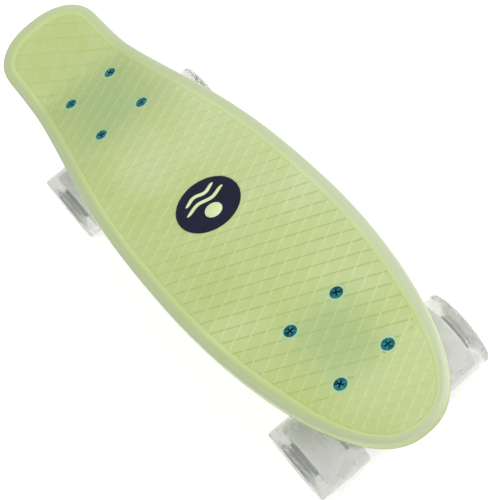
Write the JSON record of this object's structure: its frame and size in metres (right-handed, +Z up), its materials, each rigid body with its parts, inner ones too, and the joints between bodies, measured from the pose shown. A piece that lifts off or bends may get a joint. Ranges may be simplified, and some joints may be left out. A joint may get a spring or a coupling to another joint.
{
  "type": "skateboard",
  "caption": "Small plastic cruiser skateboard with a kicked tail, rounded nose, cast steering trucks and clear wide wheels on ball bearings.",
  "frame": {"origin": "on the ground half way along and across the board", "axes": "+X to the rounded nose, +Y to the board's left, +Z up"},
  "size_m": [0.567, 0.1544, 0.1209],
  "materials": {
    "deck": "moulded translucent, fine diamond grip",
    "badge": "printed",
    "deck_bolt": "anodised colour",
    "zinc": "zinc plated",
    "riser": "matte",
    "truck_cast": "cast and tumbled",
    "steel": "ground",
    "pivot_cup": "moulded",
    "bushing": "cast urethane",
    "tyre": "clear cast urethane",
    "wheel_core": "moulded, milky",
    "bearing": "polished with pressed shields"
  },
  "bodies": {
    "board": {"deck": "deck", "badge": "badge", "riser_pad_front": "riser", "deck_bolt_front_outer_left": "deck_bolt", "deck_nut_front_outer_left": "zinc", "deck_bolt_front_outer_right": "deck_bolt", "deck_nut_front_outer_right": "zinc", "deck_bolt_front_inner_left": "deck_bolt", "deck_nut_front_inner_left": "zinc", "deck_bolt_front_inner_right": "deck_bolt", "deck_nut_front_inner_right": "zinc", "baseplate_front": "truck_cast", "pivot_cup_front": "pivot_cup", "kingpin_front": "steel", "bushing_upper_front": "bushing", "bushing_lower_front": "bushing", "cup_washer_upper_front": "zinc", "cup_washer_lower_front": "zinc", "kingpin_nut_front": "zinc", "riser_pad_rear": "riser", "deck_bolt_rear_outer_left": "deck_bolt", "deck_nut_rear_outer_left": "zinc", "deck_bolt_rear_outer_right": "deck_bolt", "deck_nut_rear_outer_right": "zinc", "deck_bolt_rear_inner_left": "deck_bolt", "deck_nut_rear_inner_left": "zinc", "deck_bolt_rear_inner_right": "deck_bolt", "deck_nut_rear_inner_right": "zinc", "baseplate_rear": "truck_cast", "pivot_cup_rear": "pivot_cup", "kingpin_rear": "steel", "bushing_upper_rear": "bushing", "bushing_lower_rear": "bushing", "cup_washer_upper_rear": "zinc", "cup_washer_lower_rear": "zinc", "kingpin_nut_rear": "zinc"},
    "hanger_front_body": {"hanger_front": "truck_cast", "axle_front": "steel", "axle_nut_front_left": "zinc", "axle_nut_front_right": "zinc"},
    "wheel_front_left": {"tyre_front_left": "tyre", "wheel_core_front_left": "wheel_core", "bearing_inner_front_left": "bearing", "bearing_outer_front_left": "bearing"},
    "wheel_front_right": {"tyre_front_right": "tyre", "wheel_core_front_right": "wheel_core", "bearing_inner_front_right": "bearing", "bearing_outer_front_right": "bearing"},
    "hanger_rear_body": {"hanger_rear": "truck_cast", "axle_rear": "steel", "axle_nut_rear_left": "zinc", "axle_nut_rear_right": "zinc"},
    "wheel_rear_left": {"tyre_rear_left": "tyre", "wheel_core_rear_left": "wheel_core", "bearing_inner_rear_left": "bearing", "bearing_outer_rear_left": "bearing"},
    "wheel_rear_right": {"tyre_rear_right": "tyre", "wheel_core_rear_right": "wheel_core", "bearing_inner_rear_right": "bearing", "bearing_outer_rear_right": "bearing"}
  },
  "joints": [
    {"name": "steer_front", "type": "hinge", "parent": "board", "child": "hanger_front_body", "pos_m": [0.17503, 0, 0.0513], "axis": [0.8469, 0, 0.5318], "range_deg": [-15, 15], "stiffness_Nm_per_rad": 40, "deforming": ["bushing_upper_front", "bushing_lower_front"]},
    {"name": "steer_rear", "type": "hinge", "parent": "board", "child": "hanger_rear_body", "pos_m": [-0.1477, 0, 0.0513], "axis": [-0.8469, 0, 0.5318], "range_deg": [-15, 15], "stiffness_Nm_per_rad": 40, "deforming": ["bushing_upper_rear", "bushing_lower_rear"]},
    {"name": "spin_front_left", "type": "hinge", "parent": "hanger_front_body", "child": "wheel_front_left", "pos_m": [0.19332, 0.0547, 0.03], "axis": [0, 1, 0], "continuous": true},
    {"name": "spin_front_right", "type": "hinge", "parent": "hanger_front_body", "child": "wheel_front_right", "pos_m": [0.19332, -0.0547, 0.03], "axis": [0, 1, 0], "continuous": true},
    {"name": "spin_rear_left", "type": "hinge", "parent": "hanger_rear_body", "child": "wheel_rear_left", "pos_m": [-0.16599, 0.0547, 0.03], "axis": [0, 1, 0], "continuous": true},
    {"name": "spin_rear_right", "type": "hinge", "parent": "hanger_rear_body", "child": "wheel_rear_right", "pos_m": [-0.16599, -0.0547, 0.03], "axis": [0, 1, 0], "continuous": true}
  ]
}
